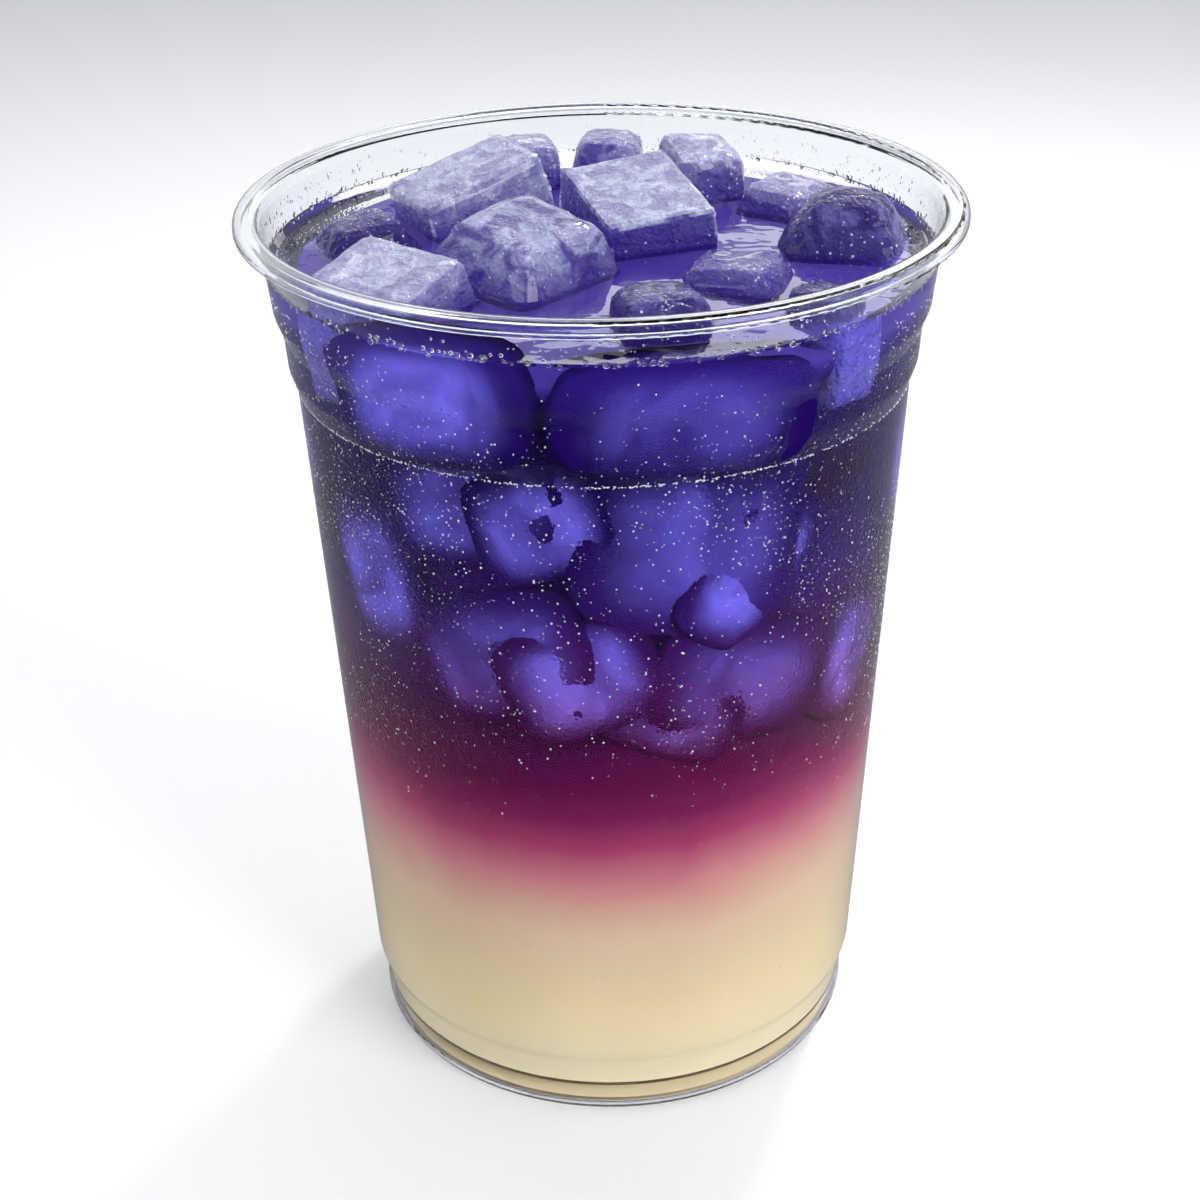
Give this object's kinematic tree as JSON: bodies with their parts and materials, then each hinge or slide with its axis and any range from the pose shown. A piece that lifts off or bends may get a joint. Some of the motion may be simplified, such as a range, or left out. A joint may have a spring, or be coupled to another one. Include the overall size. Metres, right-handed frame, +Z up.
{
  "type": "iced drink in a cup",
  "caption": "Clear tapered cup with a rolled rim, holding a pale lemonade layer under a deep violet butterfly pea tea layer, with ice cubes standing out of the surface.",
  "frame": {"origin": "on the table under the middle of the cup", "axes": "+Z up through the middle of the cup, -Y towards the side seen from the front"},
  "size_m": [0.098, 0.098, 0.1294],
  "materials": {
    "clear_cup": "clear moulded sheet, glossy, wet with fine condensation outside",
    "lemonade": "cloudy pale yellow lemonade",
    "pea_tea": "deep violet butterfly pea tea, turning magenta at its lower edge",
    "ice": "melting ice, frosted and speckled with air bubbles"
  },
  "bodies": {
    "root": {"cup": "clear_cup", "lemonade": "lemonade", "pea_tea": "pea_tea", "ice_back_left": "ice", "ice_front_left": "ice", "ice_front_middle": "ice", "ice_middle": "ice", "ice_low_left": "ice", "ice_back_middle": "ice", "ice_back_small": "ice", "ice_back_right": "ice", "ice_right": "ice", "ice_dark_right": "ice", "ice_front_right": "ice", "ice_low_front": "ice", "ice_low_right": "ice"}
  },
  "joints": []
}
